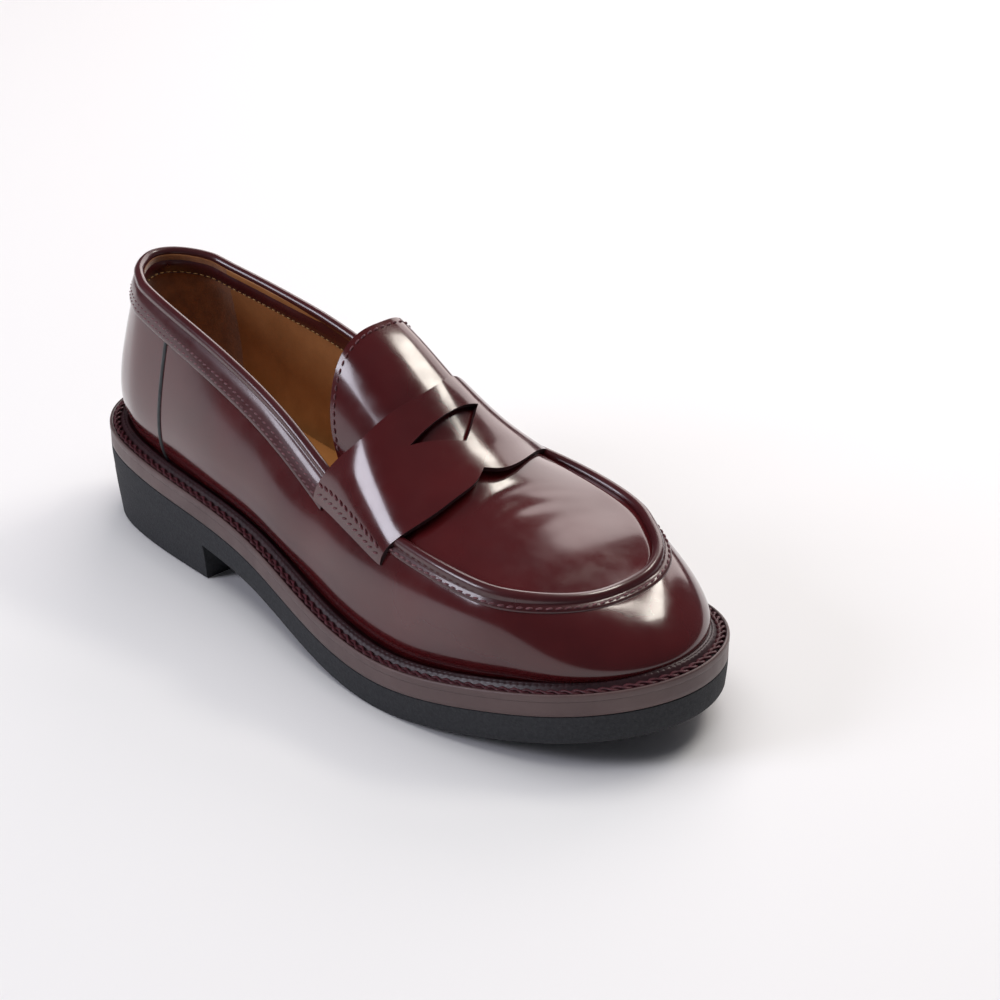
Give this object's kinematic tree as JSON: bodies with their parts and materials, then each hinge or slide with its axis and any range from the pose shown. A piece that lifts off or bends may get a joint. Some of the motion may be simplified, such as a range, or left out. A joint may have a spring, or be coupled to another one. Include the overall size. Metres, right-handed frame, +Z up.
{
  "type": "penny loafer",
  "caption": "Glossy burgundy slip-on loafer for the right foot: apron toe, slotted saddle strap, storm welt, thick rubber sole with a low block heel.",
  "frame": {"origin": "on the floor, under the middle of the sole's outline", "axes": "+Z up, +Y from toe to heel, +X towards the inner side of the foot"},
  "size_m": [0.1013, 0.2893, 0.1046],
  "materials": {
    "outsole_rubber": "matte micro-cellular rubber",
    "midsole_edge": "smooth mauve-brown edge",
    "welt_leather": "burgundy leather welt",
    "welt_thread": "waxed burgundy thread",
    "cork": "cork compound",
    "shank_steel": "spring steel",
    "insole_board": "cellulose board",
    "foam": "foam",
    "lining_tan": "tan lining leather",
    "stiffener": "thermoplastic board",
    "burgundy_leather": "high-gloss polished leather",
    "lining_textile": "cotton twill lining",
    "heel_grip": "suede heel grip",
    "upper_thread": "polyester thread",
    "black_piping": "dark edge piping"
  },
  "bodies": {
    "shoe": {"outsole": "outsole_rubber", "midsole": "midsole_edge", "storm_welt": "welt_leather", "welt_stitching": "welt_thread", "cork_filler": "cork", "shank": "shank_steel", "insole_board": "insole_board", "footbed_foam": "foam", "sock_liner": "lining_tan", "heel_counter": "stiffener", "toe_puff": "stiffener", "vamp_wall": "burgundy_leather", "back_quarter": "burgundy_leather", "vamp_lining": "lining_textile", "apron_lining": "lining_textile", "quarter_lining_outer": "lining_tan", "quarter_lining_inner": "lining_tan", "heel_lining": "heel_grip", "collar_binding": "burgundy_leather", "collar_stitching": "upper_thread", "apron_plug": "burgundy_leather", "apron_welt": "burgundy_leather", "apron_stitching": "upper_thread", "seam_piping_outer": "black_piping", "seam_piping_inner": "black_piping", "saddle_strap": "burgundy_leather", "strap_stitching_outer": "upper_thread", "strap_stitching_inner": "upper_thread"},
    "tongue": {"tongue": "burgundy_leather", "tongue_lining": "lining_tan", "tongue_stitching": "upper_thread"}
  },
  "joints": [
    {"name": "tongue_lift", "type": "hinge", "parent": "shoe", "child": "tongue", "pos_m": [0.0073, -0.0235, 0.0905], "axis": [1, 0, 0], "range_deg": [0, 28], "stiffness_Nm_per_rad": 0.06}
  ]
}
